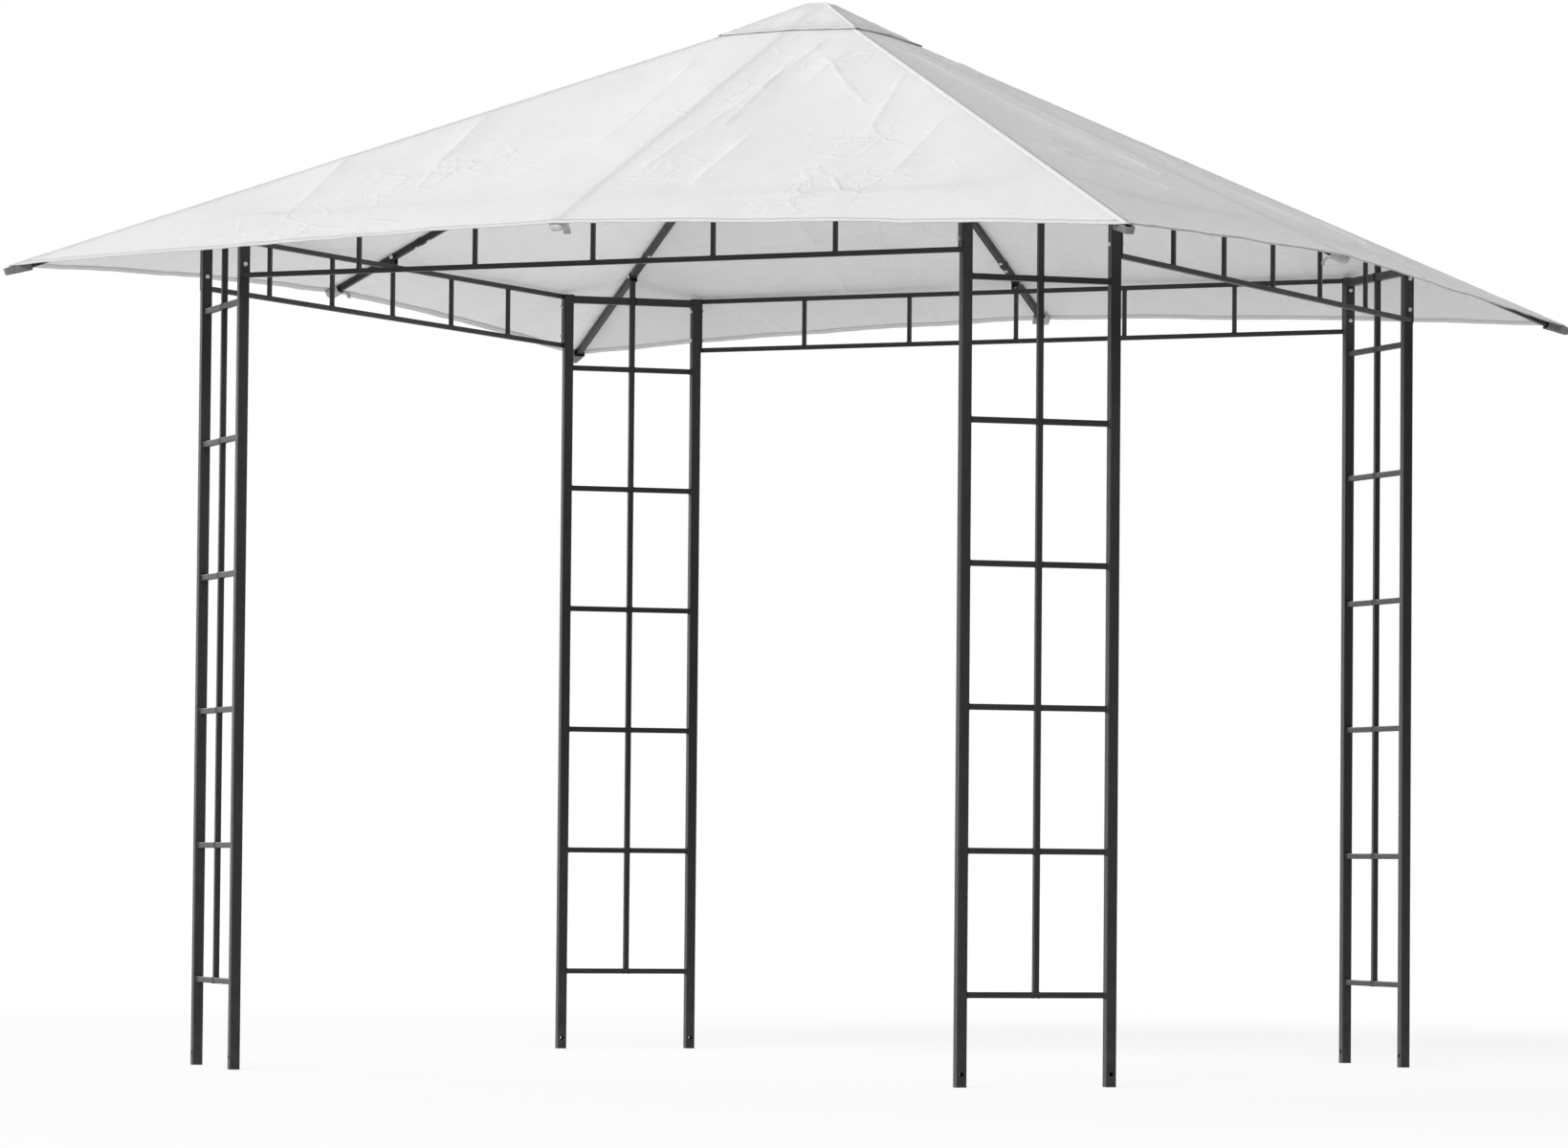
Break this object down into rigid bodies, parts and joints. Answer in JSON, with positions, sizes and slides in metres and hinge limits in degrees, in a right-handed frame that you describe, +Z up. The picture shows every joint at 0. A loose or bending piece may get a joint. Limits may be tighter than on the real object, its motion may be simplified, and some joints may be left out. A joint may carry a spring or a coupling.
{
  "type": "garden gazebo",
  "caption": "Square garden gazebo: trellis leg panels across the corners, trusses between them, rafters to a central hub, and a pale fabric roof with a vent cap.",
  "frame": {"origin": "centre of the ground plan, on the ground", "axes": "+Z up; the front side faces -Y and the right side faces +X"},
  "size_m": [2.9472, 2.9472, 2.685],
  "materials": {
    "powder_coat": "satin anthracite powder coat",
    "zinc": "zinc plated",
    "cap_plastic": "moulded, matt",
    "canopy_fabric": "woven polyester, off-white"
  },
  "bodies": {
    "root": {"back_bottom_rail": "powder_coat", "back_left_centre_post": "powder_coat", "back_left_post_back": "powder_coat", "back_left_post_left": "powder_coat", "back_left_rafter_inner": "powder_coat", "back_left_rafter_outer": "powder_coat", "back_left_rungs": "powder_coat", "back_rafter_inner": "powder_coat", "back_rafter_outer": "powder_coat", "back_right_centre_post": "powder_coat", "back_right_post_back": "powder_coat", "back_right_post_right": "powder_coat", "back_right_rafter_inner": "powder_coat", "back_right_rafter_outer": "powder_coat", "back_right_rungs": "powder_coat", "back_top_rail": "powder_coat", "back_truss_bars": "powder_coat", "canopy": "canopy_fabric", "foot_plugs": "cap_plastic", "front_bottom_rail": "powder_coat", "front_left_centre_post": "powder_coat", "front_left_post_front": "powder_coat", "front_left_post_left": "powder_coat", "front_left_rafter_inner": "powder_coat", "front_left_rafter_outer": "powder_coat", "front_left_rungs": "powder_coat", "front_rafter_inner": "powder_coat", "front_rafter_outer": "powder_coat", "front_right_centre_post": "powder_coat", "front_right_post_front": "powder_coat", "front_right_post_right": "powder_coat", "front_right_rafter_inner": "powder_coat", "front_right_rafter_outer": "powder_coat", "front_right_rungs": "powder_coat", "front_top_rail": "powder_coat", "front_truss_bars": "powder_coat", "hub": "powder_coat", "hub_top_disc": "cap_plastic", "left_bottom_rail": "powder_coat", "left_rafter_inner": "powder_coat", "left_rafter_outer": "powder_coat", "left_top_rail": "powder_coat", "left_truss_bars": "powder_coat", "mid_saddles": "powder_coat", "post_caps": "cap_plastic", "rafter_bolts": "zinc", "rafter_end_caps": "cap_plastic", "rafter_forks": "powder_coat", "rafter_nuts": "zinc", "rafter_screws": "zinc", "right_bottom_rail": "powder_coat", "right_rafter_inner": "powder_coat", "right_rafter_outer": "powder_coat", "right_top_rail": "powder_coat", "right_truss_bars": "powder_coat", "splice_sleeves": "powder_coat", "truss_bolts": "zinc", "truss_end_plates": "powder_coat", "truss_nuts": "zinc", "vent_cap": "canopy_fabric"}
  },
  "joints": []
}
